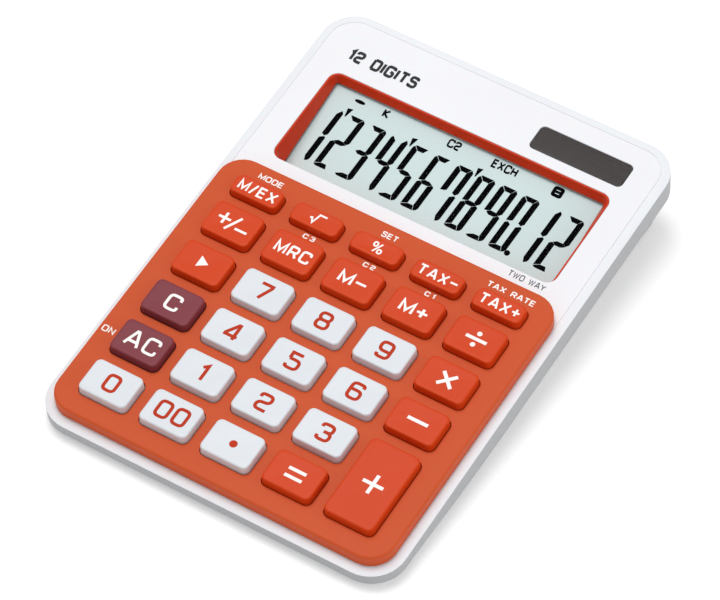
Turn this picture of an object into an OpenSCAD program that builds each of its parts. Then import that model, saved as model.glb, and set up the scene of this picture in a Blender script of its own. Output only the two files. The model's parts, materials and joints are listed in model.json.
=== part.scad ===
// Solar and button-cell desk calculator with 29 sprung keys.
// Millimetres, +Z up, +X to the user's right, +Y to the rear. The origin is on the
// ground under the middle of the case. The whole calculator is built flat, on the
// "deck" frame (X right, Y from the case's front edge to the rear, Z = 0 on the white
// deck), and is then tilted up towards the rear.

/* [Case] */
// Width of the case
case_w = 105; // [102:1:130]
// Length of the case along its slope
case_l = 149.6; // [146:0.1:185]
// Corner radius of the case, seen from above
case_r = 9.7; // [8:0.1:14]
// Width of the bevelled rim round the white deck
rim_w = 2.6; // [2.2:0.1:4]
// Drop of the white bevel from the deck to its outer edge
bevel_drop = 0.45; // [0.3:0.05:0.8]
// Depth of the parting line between the white and the grey case
parting = 0.65; // [0.5:0.05:1]
// Thickness of the white deck
deck_t = 1.8; // [1.5:0.1:2.4]
// Thickness of the grey case's side wall
wall_t = 1.6; // [1.2:0.1:2]
// Thickness of the grey case's floor and shelf
floor_t = 1.4; // [1:0.1:1.8]
// Height of the grey rim wall at the front edge
grey_front_h = 3.35; // [3.2:0.05:5]
// Height of the grey rim wall over the rear half
grey_rear_h = 7.15; // [5.5:0.05:9]
// Inset of the lower belly from the rim wall
belly_inset = 4.5; // [3.5:0.1:6]

/* [Stance] */
// Tilt of the deck, rising to the rear
tilt = 6.8; // [5:0.1:9]
// Height of the deck plane over the ground at the front edge
front_h = 5.34; // [5.2:0.01:7]
// Height of the rubber feet under the belly
foot_h = 0.8; // [0.5:0.1:1.5]
// Diameter of a rubber foot
foot_d = 9; // [6:0.5:11]
// Depth of the pocket that a foot is glued in
foot_pocket = 0.5; // [0.3:0.1:0.8]

/* [Key panel] */
// Height of the raised key panel over the deck
panel_rise = 3.65; // [3:0.05:5]
// Length of the key panel along the slope
panel_l = 89.3; // [88:0.1:100]
// Thickness of the key panel's top and side walls
panel_t = 1.5; // [1.2:0.1:1.6]
// Width of the deck ledge that the key panel stands on
ledge_w = 2; // [1.8:0.1:2.4]

/* [Keys] */
// Width of a key
key_w = 14.5; // [11:0.1:14.8]
// Depth of a full-size key
key_l = 10.6; // [8.5:0.1:11]
// Depth of a key in the small top row
small_key_l = 6.3; // [5:0.1:6.5]
// Corner radius of a key
key_r = 1.8; // [1.2:0.1:2.2]
// Distance between key columns
col_pitch = 18.18; // [17.9:0.01:18.4]
// Distance between key rows
row_pitch = 14.2; // [13.9:0.01:14.5]
// Distance from the case's front edge to the middle of the first key row
first_row = 13.86; // [13.5:0.01:14.5]
// Distance from the fifth row to the small top row
small_pitch = 11.8; // [11.5:0.01:12.2]
// Height of the key tops over the key panel
key_proud = 2.35; // [1.8:0.05:3]
// Travel of a key
key_travel = 1.4; // [1:0.05:1.6]
// Gap between a key and its hole, each side
key_gap = 0.35; // [0.25:0.05:0.45]
// Width of the flange that keeps a key under the panel
flange_w = 0.5; // [0.45:0.05:0.6]
// Thickness of the key flange
flange_t = 0.6; // [0.4:0.05:0.8]
// Wall of the hollow key cap
key_wall = 1.2; // [0.9:0.1:1.5]

/* [Display] */
// Width of the display recess at the deck
window_w = 85.3; // [70:0.1:86]
// Length of the display recess at the deck
window_l = 32; // [30:0.1:36]
// Corner radius of the display recess
window_r = 3; // [2:0.1:5]
// Distance from the key panel to the display recess
window_gap = 5.85; // [5:0.05:8]
// Distance that the sloped frame leans in on each side
frame_lean = 2.3; // [1.5:0.05:4]
// Depth of the display glass at its rear edge
lcd_drop = 2.8; // [2.7:0.1:4]
// Angle of the display glass to the deck
lcd_tilt = 8.5; // [6:0.1:10]
// Length of the visible glass
lcd_l = 28.5; // [26:0.1:29]
// Thickness of the clear display window
lens_t = 0.8; // [0.6:0.05:1]
// Thickness of the display glass, both plates
glass_t = 2.2; // [1.6:0.1:2.6]

/* [Solar panel] */
// Width of the solar window
solar_w = 27.8; // [20:0.1:28]
// Length of the solar window
solar_l = 8.4; // [6:0.1:10]
// Distance from the display recess to the solar window
solar_gap = 3; // [2.6:0.1:6]
// Thickness of the solar cell
solar_t = 1.1; // [0.8:0.1:1.4]

/* [Electronics] */
// Thickness of the main board
board_t = 1; // [0.8:0.1:1.2]
// Thickness of the rubber key sheet
sheet_t = 0.6; // [0.5:0.05:0.65]
// Diameter of the button cell
cell_d = 11.6; // [7.9:0.1:14]
// Thickness of the button cell
cell_t = 3.05; // [2:0.05:5.4]
// Diameter of a solar lead
wire_d = 1; // [0.8:0.1:1.2]

/* [Fasteners] */
// Diameter of a board screw's shank
board_screw_d = 1.2; // [1:0.1:1.4]
// Diameter of a board screw's head
board_head_d = 2.8; // [2.4:0.1:3]
// Diameter of a case screw's shank
case_screw_d = 2; // [1.8:0.1:2.2]
// Diameter of a case screw's head
case_head_d = 4; // [3.6:0.1:4.4]
// Gap round each screw
screw_gap = 0.1; // [0.05:0.05:0.2]

/* [Hidden] */
$fn = 48;
SMOOTH = 32;
EPS = 0.01;
SLIP = 0.15;            // gap between fixed pieces that slide together
ORANGE = [0.82, 0.33, 0.19];
PANEL = [0.80, 0.37, 0.24];
WHITE = [0.93, 0.93, 0.95];
PLUM = [0.50, 0.28, 0.32];
GREY = [0.66, 0.66, 0.67];

// Name, column, row, number of rows it spans, colour. Row 0 is nearest the user.
KEYS = [
  ["key_0", 0, 0, 1, WHITE],
  ["key_00", 1, 0, 1, WHITE],
  ["key_point", 2, 0, 1, WHITE],
  ["key_equals", 3, 0, 1, ORANGE],
  ["key_ac", 0, 1, 1, PLUM],
  ["key_1", 1, 1, 1, WHITE],
  ["key_2", 2, 1, 1, WHITE],
  ["key_3", 3, 1, 1, WHITE],
  ["key_plus", 4, 0, 2, ORANGE],
  ["key_c", 0, 2, 1, PLUM],
  ["key_4", 1, 2, 1, WHITE],
  ["key_5", 2, 2, 1, WHITE],
  ["key_6", 3, 2, 1, WHITE],
  ["key_minus", 4, 2, 1, ORANGE],
  ["key_shift", 0, 3, 1, ORANGE],
  ["key_7", 1, 3, 1, WHITE],
  ["key_8", 2, 3, 1, WHITE],
  ["key_9", 3, 3, 1, WHITE],
  ["key_multiply", 4, 3, 1, ORANGE],
  ["key_sign", 0, 4, 1, ORANGE],
  ["key_memory_recall", 1, 4, 1, ORANGE],
  ["key_memory_minus", 2, 4, 1, ORANGE],
  ["key_memory_plus", 3, 4, 1, ORANGE],
  ["key_divide", 4, 4, 1, ORANGE],
  ["key_exchange", 0, 5, 1, ORANGE],
  ["key_root", 1, 5, 1, ORANGE],
  ["key_percent", 2, 5, 1, ORANGE],
  ["key_tax_minus", 3, 5, 1, ORANGE],
  ["key_tax_plus", 4, 5, 1, ORANGE],
];
TOP_ROW = 5;

// Case outline and stance
case_mid = case_l / 2;
grey_front = -parting - grey_front_h;
grey_rear = -parting - grey_rear_h;
grey_bend_y = 77;       // where the grey rim wall reaches its full height
// The rim wall's growth up to there: share of the length, share of the height
RIM_EDGE = [[0, 0], [0.18, 0.17], [0.31, 0.4], [0.45, 0.68], [0.6, 0.86], [0.75, 0.94], [1, 1]];
back_y = case_l * cos(tilt) - grey_rear * sin(tilt);
start_y = -(back_y + parting * sin(tilt)) / 2;

// Key panel
panel_w = case_w - 2 * rim_w;
panel_mid = rim_w + panel_l / 2;
panel_r = case_r - rim_w;
roof_z = panel_rise - panel_t;
well_w = panel_w - 2 * ledge_w;
well_l = panel_l - 2 * ledge_w;
well_r = panel_r - ledge_w;

// Keys, from their tops down to the board
key_top = panel_rise + key_proud;
stop_gap = 0.1;         // play between the flange and the panel
flange_z = roof_z - stop_gap - flange_t;
stem_r = 1.9;
stem_z = flange_z - 0.1;
cap_roof = 1.4;
sheet_z = stem_z - key_travel - 0.1;
board_z = sheet_z - sheet_t;
dome_z = stem_z - 0.05;
dome_r = 4;
dome_tip_r = 2.6;
dome_wall = 0.5;
pill_r = 1.5;
pill_t = 0.3;

// Display: a point y along the glass and z over it, as [y, z] on the deck frame
window_y = rim_w + panel_l + window_gap;
window_mid = window_y + window_l / 2;
lcd_rear = window_y + window_l - 1.75;
lcd_w = window_w - 2 * frame_lean;
frame_wall = 1.2;
frame_flange = 0.8;
flange_top = -deck_t - 0.05;
film_t = 0.2;
film_z = -0.05 - lens_t - film_t;
glass_z = film_z - glass_t;
mirror_z = glass_z - film_t;
holder_t = 1;
holder_z = mirror_z - holder_t;
function lcd_point(y, z) = [
  lcd_rear + y * cos(lcd_tilt) - z * sin(lcd_tilt),
  -lcd_drop + y * sin(lcd_tilt) + z * cos(lcd_tilt)
];

// Solar window, its right edge in line with the display's
solar_x = (window_w - solar_w) / 2;
solar_y = window_y + window_l + solar_gap + solar_l / 2;
solar_cell_z = -0.95;
solar_margin = 0.9;

// Board, its screws and the panel's hooks
board_w = well_w - 2;
board_y0 = rim_w + ledge_w + 0.5;
board_y1 = rim_w + panel_l - ledge_w - 0.8;
boss_r = 1.4;
side_boss_x = panel_w / 2 - panel_t - boss_r - 1.7;
end_boss_x = 1.5 * col_pitch;
front_boss_y = rim_w + panel_t + boss_r + 0.8;
rear_boss_y = rim_w + panel_l - panel_t - boss_r - 1;
BOARD_SCREWS = concat(
  [for (s = [-1, 1], row = [1.5, 4.46]) [s * side_boss_x, first_row + row * row_pitch]],
  [for (s = [-1, 1], y = [front_boss_y, rear_boss_y]) [s * end_boss_x, y]]
);
HOOKS = [for (s = [-1, 1], row = [0.5, 3]) [s, first_row + row * row_pitch]];
hook_w = 4;
hook_t = 0.9;
hook_x = well_w / 2 - 0.1;
barb_z = -deck_t - 0.1;

// Case screws beside the display and beside the solar window
post_r = 2.1;
screw_x = case_w / 2 - belly_inset - wall_t - post_r - 0.3;
CASE_SCREWS = [
  for (s = [-1, 1], y = [window_y - 4.75, window_y + window_l + 6.75]) [s * screw_x, y]
];
seat_z = -9;            // where the case screws' bosses meet
seat_t = 1.6;
tube_r = 3.3;
head_h = 1.4;

// Button cell under the board
cell_x = 30;
cell_y = first_row + 4 * row_pitch;
cell_z = board_z - board_t - 0.25;

// Solar leads, from the cell under the display to the board: X stays, [y, z] points
LEAD_X = [30, 33.5];
LEAD = [
  [solar_y, solar_cell_z - solar_t],
  [solar_y, -5],
  [solar_y - 2, -9],
  [window_y + 29, -12],
  [window_y + 15, -13.4],
  [window_y + 1, -13.4],
  [window_y - 6, -11],
  [window_y - 9.5, -6.5],
  [board_y1 - 3, -3.4],
  [board_y1 - 3, board_z - board_t],
];

// Feet: half spacing across, and distances from the front edge
foot_x = case_w / 2 - belly_inset - foot_d / 2 - 3;
FEET_Y = [18, case_l - 18];

// ---------- frames and outlines ----------

module on_deck() {
  translate([0, start_y, front_h]) rotate([tilt, 0, 0]) children();
}

module on_glass() {
  translate([0, lcd_rear, -lcd_drop]) rotate([lcd_tilt, 0, 0]) children();
}

// Rounded rectangle round the origin
module outline(w, l, r) {
  square([w - 2 * r, l], center = true);
  square([w, l - 2 * r], center = true);
  for (sx = [-1, 1], sy = [-1, 1])
    translate([sx * (w / 2 - r), sy * (l / 2 - r)]) circle(r);
}

// Rounded slab between two heights, its middle at x, y
module slab(w, l, r, z0, z1, x = 0, y = 0) {
  translate([x, y, z0]) linear_extrude(z1 - z0) outline(w, l, r);
}

// Slab that follows the case's outline, moved in by an inset
module case_slab(inset, z0, z1) {
  slab(case_w - 2 * inset, case_l - 2 * inset, case_r - inset, z0, z1, 0, case_mid);
}

// Everything over the grey rim wall's lower edge, lifted by a distance
module over_rim_edge(lift) {
  far = case_w;
  rotate([90, 0, 90]) translate([0, 0, -far]) linear_extrude(2 * far) polygon(concat(
    [[-1, 1], [-1, grey_front + lift]],
    [for (e = RIM_EDGE)
      [e[0] * grey_bend_y, grey_front + e[1] * (grey_rear - grey_front) + lift]],
    [[case_l + 1, grey_rear + lift], [case_l + 1, 1]]
  ));
}

// Everything over a level height above the ground, in the ground's own frame
module over_ground(h) {
  far = 2 * case_l;
  translate([-far, -far, h]) cube([2 * far, 2 * far, far]);
}

function key_x(k) = (k[1] - 2) * col_pitch;
function row_y(row) = first_row + (row < TOP_ROW ? row : TOP_ROW - 1) * row_pitch
  + (row < TOP_ROW ? 0 : small_pitch);
function key_y(k) = row_y(k[2]) + (k[3] - 1) * row_pitch / 2;
function key_len(k) = (k[2] < TOP_ROW ? key_l : small_key_l) + (k[3] - 1) * row_pitch;

// ---------- casing ----------

module top_case() {
  color(WHITE) on_deck() difference() {
    union() {
      hull() {
        slab(case_w, case_l, case_r, -parting, -bevel_drop, 0, case_mid, $fn = SMOOTH);
        slab(case_w - 2 * rim_w, case_l - 2 * rim_w, case_r - rim_w, -EPS, 0, 0, case_mid,
          $fn = SMOOTH);
      }
      case_slab(wall_t + SLIP, -deck_t, -0.3);
      for (p = CASE_SCREWS) translate([p.x, p.y, seat_z]) cylinder(r = post_r, h = -seat_z - 1);
    }
    slab(well_w, well_l, well_r, -deck_t - 1, 1, 0, panel_mid);
    slab(window_w, window_l, window_r, -deck_t - 1, 1, 0, window_mid);
    slab(solar_w, solar_l, 1.5, -deck_t - 1, 1, solar_x, solar_y);
    slab(solar_w + 2 * solar_margin, solar_l + 2 * solar_margin, 1.5, -deck_t - 1,
      solar_cell_z + 0.05, solar_x, solar_y);
    for (p = CASE_SCREWS) translate([p.x, p.y, seat_z - 1])
      cylinder(d = case_screw_d + 2 * screw_gap, h = 8.6);
  }
}

module key_panel() {
  color(PANEL) on_deck() difference() {
    union() {
      difference() {
        slab(panel_w, panel_l, panel_r, 0, panel_rise, 0, panel_mid);
        slab(panel_w - 2 * panel_t, panel_l - 2 * panel_t, panel_r - panel_t, -1, roof_z,
          0, panel_mid);
      }
      for (p = BOARD_SCREWS) translate([p.x, p.y, board_z])
        cylinder(r = boss_r, h = roof_z - board_z + 0.5);
      for (h = HOOKS) scale([h[0], 1, 1]) panel_hook(h[1]);
    }
    for (k = KEYS) slab(key_w + 2 * key_gap, key_len(k) + 2 * key_gap, key_r + key_gap,
      -1, panel_rise + 1, key_x(k), key_y(k));
    for (p = BOARD_SCREWS) translate([p.x, p.y, board_z - 1])
      cylinder(d = board_screw_d + 2 * screw_gap, h = roof_z - board_z + 1);
  }
}

// Hook on the right side that catches under the deck's ledge
module panel_hook(y) {
  translate([hook_x - hook_t, y - hook_w / 2, barb_z - 0.6])
    cube([hook_t, hook_w, roof_z - barb_z + 1]);
  translate([hook_x - hook_t, y - hook_w / 2, barb_z - 0.6])
    cube([hook_t + 0.9, hook_w, 0.6]);
}

module back_case() {
  color(GREY) difference() {
    union() {
      difference() {
        union() {
          on_deck() intersection() {
            case_slab(0, grey_rear - 1, -parting);
            over_rim_edge(0);
          }
          belly(belly_inset, foot_h, grey_front + 1);
        }
        on_deck() intersection() {
          case_slab(wall_t, grey_rear - 1, 0);
          over_rim_edge(floor_t);
        }
        belly(belly_inset + wall_t, foot_h + floor_t, 0);
      }
      intersection() {
        on_deck() for (p = CASE_SCREWS) translate([p.x, p.y, -40])
          cylinder(r = tube_r, h = 40 + seat_z);
        over_ground(foot_h);
      }
    }
    on_deck() for (p = CASE_SCREWS) {
      translate([p.x, p.y, -50]) cylinder(d = case_head_d + 0.8, h = 50 + seat_z - seat_t);
      translate([p.x, p.y, -20]) cylinder(d = case_screw_d + 0.6, h = 20);
    }
    for (s = [-1, 1], y = FEET_Y) foot_place(s, y) translate([0, 0, -1])
      cylinder(d = foot_d + 0.4, h = foot_pocket + 1);
  }
}

// Wedge-shaped belly between a level height over the ground and a height on the deck
module belly(inset, ground, top) {
  intersection() {
    on_deck() case_slab(inset, -40, top);
    over_ground(ground);
  }
}

// Puts a foot's pocket on the belly's underside, at its place along the slope
module foot_place(side, y) {
  translate([side * foot_x, start_y + y * cos(tilt), foot_h]) children();
}

module rubber_feet() {
  color([0.2, 0.2, 0.21]) for (s = [-1, 1], y = FEET_Y) foot_place(s, y)
    translate([0, 0, -foot_h]) cylinder(d = foot_d, h = foot_h + foot_pocket);
}

module case_screws() {
  color("silver") on_deck() for (p = CASE_SCREWS) translate([p.x, p.y, seat_z - seat_t]) {
    translate([0, 0, -head_h]) cylinder(d = case_head_d, h = head_h);
    cylinder(d = case_screw_d, h = 8);
  }
}

// ---------- display ----------

module display_frame() {
  inner_r = window_r - 1;
  color(ORANGE) on_deck() difference() {
    union() {
      hull() {
        slab(window_w - 0.2, window_l - 0.2, window_r, -0.12, -0.1, 0, window_mid,
          $fn = SMOOTH);
        on_glass() slab(lcd_w + 2 * frame_wall, lcd_l + 2 * frame_wall, window_r, 0, 0.02,
          0, -lcd_l / 2, $fn = SMOOTH);
      }
      slab(window_w + 1.6, window_l + 1.6, window_r, flange_top - frame_flange, flange_top,
        0, window_mid);
    }
    hull() {
      slab(window_w - 1, window_l - 1, window_r - 0.3, 0, 0.1, 0, window_mid, $fn = SMOOTH);
      on_glass() slab(lcd_w, lcd_l, inner_r, -0.5, 0, 0, -lcd_l / 2, $fn = SMOOTH);
    }
  }
}

// Plate under the frame, in the glass's own frame: margins past the visible glass
module glass_plate(side, front, rear, z0, z1) {
  on_deck() on_glass() translate([-lcd_w / 2 - side, -lcd_l - front, z0])
    cube([lcd_w + 2 * side, lcd_l + front + rear, z1 - z0]);
}

module display_window() {
  color([0.9, 0.95, 0.95, 0.3]) glass_plate(1.5, 1.2, 1.1, -0.05 - lens_t, -0.05);
}

module front_polariser() {
  color([0.80, 0.87, 0.86, 0.5]) glass_plate(1, 0.9, 0.8, film_z, film_z + film_t);
}

module lcd_glass() {
  color([0.84, 0.90, 0.89]) union() {
    glass_plate(1.3, 1, 1.2, glass_z + glass_t / 2, film_z);
    glass_plate(1.3, 2.9, 1.2, glass_z, glass_z + glass_t / 2);
  }
}

module rear_reflector() {
  color("silver") glass_plate(1, 0.9, 0.8, mirror_z, glass_z);
}

module lcd_holder() {
  side_t = 0.9;
  color("white") union() {
    glass_plate(2.4, 2, 1.2, holder_z, mirror_z);
    on_deck() on_glass() for (s = [-1, 1]) translate([s * (lcd_w / 2 + 2.4 - side_t / 2), 0, 0])
      translate([-side_t / 2, -lcd_l, mirror_z]) cube([side_t, lcd_l, -mirror_z - 0.9]);
  }
}

// Flexible strip from the glass's front ledge to the underside of the board
module lcd_ribbon() {
  strip_w = 50;
  strip_t = 0.15;
  under_board = board_z - board_t - strip_t;
  ledge = glass_z + glass_t / 2 + 0.02;
  route = [
    [board_y1 - 4, under_board],
    [board_y1 - 2.5, under_board],
    [board_y1 + 0.3, min(under_board, -deck_t - 0.4)],
    [board_y1 + 3, min(under_board, -deck_t) - 1.6],
    [window_y - 2.2, min(under_board, -deck_t) - 4.5],
    lcd_point(-lcd_l - 3.6, ledge),
    lcd_point(-lcd_l - 1.2, ledge),
  ];
  last = len(route) - 1;
  color([0.75, 0.6, 0.3]) on_deck() rotate([90, 0, 90]) translate([0, 0, -strip_w / 2])
    linear_extrude(strip_w) polygon(concat(
      route, [for (i = [last:-1:0]) route[i] + [0.02, strip_t]]
    ));
}

// ---------- solar panel ----------

module solar_window() {
  color([0.3, 0.28, 0.27, 0.5]) on_deck() slab(solar_w - SLIP, solar_l - SLIP, 1.4,
    solar_cell_z + 0.05, -0.2, solar_x, solar_y);
}

module solar_cell() {
  color([0.25, 0.22, 0.21]) on_deck() slab(solar_w + 2 * solar_margin - SLIP,
    solar_l + 2 * solar_margin - SLIP, 1.5, solar_cell_z - solar_t, solar_cell_z,
    solar_x, solar_y);
}

// A smooth curve through the points: its place at t, where t counts points
function blend(p, i, t) = let (
    a = p[max(i - 1, 0)], b = p[i], c = p[i + 1], d = p[min(i + 2, len(p) - 1)]
  )
  0.5 * (2 * b + (c - a) * t + (2 * a - 5 * b + 4 * c - d) * t * t
    + (3 * b - a - 3 * c + d) * t * t * t);

// Tube in the plane at X, swept along a smooth curve through [y, z] points
module lead(x, points) {
  sides = 8;
  steps = 3;
  path = concat(
    [for (i = [0:len(points) - 2], s = [0:steps - 1]) blend(points, i, s / steps)],
    [points[len(points) - 1]]
  );
  last = len(path) - 1;
  ring = [for (i = [0:last]) let (
      ends = i == 0 || i == last,
      run = path[min(i + 1, last)] - path[max(i - 1, 0)],
      along = ends ? [0, i == 0 ? -1 : 1] : run / norm(run)
    ) for (a = [0:sides - 1]) let (
      c = wire_d / 2 * cos(a * 360 / sides),
      s = wire_d / 2 * sin(a * 360 / sides)
    ) [x + c, path[i].x - s * along.y, path[i].y + s * along.x]];
  side_faces = [for (i = [0:last - 1], a = [0:sides - 1]) let (b = (a + 1) % sides)
    [i * sides + a, (i + 1) * sides + a, (i + 1) * sides + b, i * sides + b]];
  on_deck() polyhedron(ring, concat(
    [[for (a = [0:sides - 1]) a]],
    side_faces,
    [[for (a = [sides - 1:-1:0]) last * sides + a]]
  ));
}

module solar_lead_red() {
  color("red") lead(LEAD_X[0], LEAD);
}

module solar_lead_black() {
  color("black") lead(LEAD_X[1], LEAD);
}

// ---------- key mechanism ----------

module key(k) {
  w = key_w;
  l = key_len(k);
  color(k[4]) on_deck() translate([key_x(k), key_y(k), 0]) union() {
    difference() {
      union() {
        slab(w, l, key_r, flange_z, key_top);
        slab(w + 2 * flange_w, l + 2 * flange_w, key_r + flange_w, flange_z,
          flange_z + flange_t);
      }
      slab(w - 2 * key_wall, l - 2 * key_wall, key_r - 0.8, flange_z - 1,
        key_top - cap_roof);
    }
    translate([0, 0, stem_z]) cylinder(r = stem_r, h = key_top - cap_roof - stem_z + 0.2);
  }
}

module rubber_keypad() {
  y0 = front_boss_y + boss_r + 0.3;
  y1 = rear_boss_y - boss_r - 0.3;
  w = 2 * (side_boss_x - boss_r - 0.3);
  rise = dome_z - sheet_z;
  color([0.75, 0.75, 0.76]) on_deck() difference() {
    union() {
      slab(w, y1 - y0, 2, board_z, sheet_z, 0, (y0 + y1) / 2);
      for (k = KEYS) translate([key_x(k), key_y(k), sheet_z - EPS])
        cylinder(r1 = min(dome_r, key_len(k) / 2), r2 = dome_tip_r, h = rise + EPS);
    }
    for (k = KEYS) translate([key_x(k), key_y(k), board_z - EPS]) cylinder(
      r1 = min(dome_r, key_len(k) / 2) - dome_wall, r2 = dome_tip_r - dome_wall,
      h = rise + sheet_t - dome_wall + EPS
    );
  }
}

module contact_pills() {
  color([0.12, 0.12, 0.12]) on_deck() for (k = KEYS)
    translate([key_x(k), key_y(k), dome_z - dome_wall - pill_t]) cylinder(r = pill_r, h = pill_t);
}

// ---------- electronics ----------

module main_board() {
  color([0.15, 0.42, 0.25]) on_deck() difference() {
    slab(board_w, board_y1 - board_y0, well_r, board_z - board_t, board_z,
      0, (board_y0 + board_y1) / 2);
    for (p = BOARD_SCREWS) translate([p.x, p.y, board_z - 5])
      cylinder(d = board_screw_d + 0.6, h = 10);
    for (h = HOOKS) translate([h[0] * board_w / 2, h[1], board_z])
      cube([2 * hook_t + 1.2, hook_w + 1, 5], center = true);
  }
}

module board_screws() {
  head_t = 0.8;
  color("silver") on_deck() for (p = BOARD_SCREWS)
    translate([p.x, p.y, board_z - board_t - head_t]) {
      cylinder(d = board_head_d, h = head_t);
      cylinder(d = board_screw_d, h = head_t + board_t + 2);
    }
}

module under_board(x, y, drop = 0) {
  on_deck() translate([x, y, board_z - board_t - drop]) children();
}

module chip_cover() {
  color("black") under_board(-8, first_row + 2 * row_pitch, 1.3) cylinder(r = 5.5, h = 1.3);
}

module storage_capacitor() {
  r = 2.5;
  color([0.15, 0.2, 0.45]) under_board(-32, first_row + 4.5 * row_pitch, r)
    rotate([0, 90, 0]) cylinder(r = r, h = 9);
}

module chip_capacitors() {
  color([0.7, 0.6, 0.45]) for (i = [0:3])
    under_board(4 + 4 * i, first_row + 3 * row_pitch, 0.8) cube([2, 1.25, 0.8]);
}

module chip_resistors() {
  color([0.1, 0.1, 0.12]) for (i = [0:2])
    under_board(4 + 4 * i, first_row + 2.5 * row_pitch, 0.5) cube([2, 1.25, 0.5]);
}

module clamp_diode() {
  color([0.8, 0.2, 0.1]) under_board(18, first_row + 4.5 * row_pitch, 2) cylinder(d = 3, h = 2);
}

module button_cell() {
  color("silver") on_deck() translate([cell_x, cell_y, cell_z - cell_t])
    cylinder(d = cell_d, h = cell_t);
}

module cell_contact_minus() {
  color("gold") on_deck() translate([cell_x - cell_d / 2 - 1, cell_y - 2, cell_z])
    cube([cell_d + 2, 4, 0.25]);
}

// Clip that holds the cell against the board
module cell_contact_plus() {
  strip = 0.3;
  reach = cell_d / 2 + 0.3;
  drop = cell_t + 0.25;
  color("gold") on_deck() translate([cell_x, cell_y, cell_z + 0.25]) {
    for (s = [-1, 1]) translate([-2.5, s * (reach + strip / 2) - strip / 2, -drop - strip])
      cube([5, strip, drop + strip]);
    translate([-2.5, -reach, -drop - strip]) cube([5, 2 * reach, strip]);
  }
}

// ---------- assembly ----------

top_case();
key_panel();
back_case();
display_frame();
display_window();
front_polariser();
lcd_glass();
rear_reflector();
lcd_holder();
lcd_ribbon();
solar_window();
solar_cell();
solar_lead_red();
solar_lead_black();
rubber_keypad();
contact_pills();
main_board();
chip_cover();
storage_capacitor();
chip_capacitors();
chip_resistors();
clamp_diode();
button_cell();
cell_contact_plus();
cell_contact_minus();
board_screws();
case_screws();
rubber_feet();
for (k = KEYS) key(k);
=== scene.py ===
"""Desk calculator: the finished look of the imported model, piece by piece.

Every piece is worked out in millimetres on the deck frame (x to the right, y from the
case's front edge to the rear along the slope, z square to the white deck and 0 on it),
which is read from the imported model, and is then put into the model's own frame.
"""

import json
import math

import bmesh
import bpy
import numpy as np
from bpy.props import FloatProperty, FloatVectorProperty, IntProperty, PointerProperty
from mathutils import Matrix, Vector

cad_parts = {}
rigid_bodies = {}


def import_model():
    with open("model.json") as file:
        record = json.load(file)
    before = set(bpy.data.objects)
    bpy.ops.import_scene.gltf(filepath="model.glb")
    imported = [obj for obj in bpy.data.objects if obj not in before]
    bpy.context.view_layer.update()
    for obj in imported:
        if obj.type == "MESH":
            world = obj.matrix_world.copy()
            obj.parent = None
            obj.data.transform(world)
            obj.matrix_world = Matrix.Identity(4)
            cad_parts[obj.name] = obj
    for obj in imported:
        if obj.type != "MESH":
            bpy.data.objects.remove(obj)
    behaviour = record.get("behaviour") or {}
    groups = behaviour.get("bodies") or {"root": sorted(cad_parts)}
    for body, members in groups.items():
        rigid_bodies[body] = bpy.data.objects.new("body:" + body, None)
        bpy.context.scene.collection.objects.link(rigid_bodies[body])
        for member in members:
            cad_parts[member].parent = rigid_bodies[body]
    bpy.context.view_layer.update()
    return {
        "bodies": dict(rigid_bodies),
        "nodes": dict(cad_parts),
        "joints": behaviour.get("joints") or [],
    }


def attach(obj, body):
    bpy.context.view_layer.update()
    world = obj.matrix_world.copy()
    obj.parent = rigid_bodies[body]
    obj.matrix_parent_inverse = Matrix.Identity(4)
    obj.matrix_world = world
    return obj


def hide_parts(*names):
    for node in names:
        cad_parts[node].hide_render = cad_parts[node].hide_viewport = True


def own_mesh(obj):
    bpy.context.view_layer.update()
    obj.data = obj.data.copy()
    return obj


bl_info = {
    "name": "Desk Calculator",
    "version": (1, 0, 0),
    "blender": (4, 5, 0),
    "location": "View3D > Sidebar > Calculator",
    "description": "Builds a desk calculator with sprung keys over its packed frame",
    "category": "Object",
}

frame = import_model()
NODES = frame["nodes"]
KEY_NAMES = [n for n in NODES if n.startswith("key_") and n != "key_panel"]

# ---------------------------------------------------------------- the deck frame


def node_points(node):
    """A node's vertices in the model's frame, in metres."""
    mesh = NODES[node].data
    co = np.empty(len(mesh.vertices) * 3, np.float32)
    mesh.vertices.foreach_get("co", co)
    return co.reshape(-1, 3).astype(float)


PRESS_AXIS = np.array(frame["joints"][0]["axis"], float)
UP = -PRESS_AXIS / np.linalg.norm(PRESS_AXIS)
RIGHT = np.array([1.0, 0.0, 0.0])
BACK = np.cross(UP, RIGHT)
_top = node_points("top_case")
ORIGIN = BACK * (_top @ BACK).min() + UP * (_top @ UP).max()


def to_deck(points):
    """Deck coordinates in mm of points of the model's frame in metres."""
    d = (np.asarray(points, float) - ORIGIN) * 1000
    return np.stack([d @ RIGHT, d @ BACK, d @ UP], -1)


def to_model(points):
    """Model coordinates in metres of deck points in mm: origin + x right + y back + z up."""
    p = np.asarray(points, float) / 1000
    return ORIGIN + p[..., :1] * RIGHT + p[..., 1:2] * BACK + p[..., 2:] * UP


def deck_box(node):
    """Lowest and highest corner of a node in deck coordinates."""
    p = to_deck(node_points(node))
    return p.min(0), p.max(0)


def centres(points, reach):
    """Middles of the separate clumps of points, seen from above, no wider than reach."""
    left, found = points, []
    while len(left):
        near = np.hypot(*(left[:, :2] - left[0, :2]).T) < reach
        clump = left[near]
        found.append((clump.min(0) + clump.max(0)) / 2)
        left = left[~near]
    return found


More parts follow.
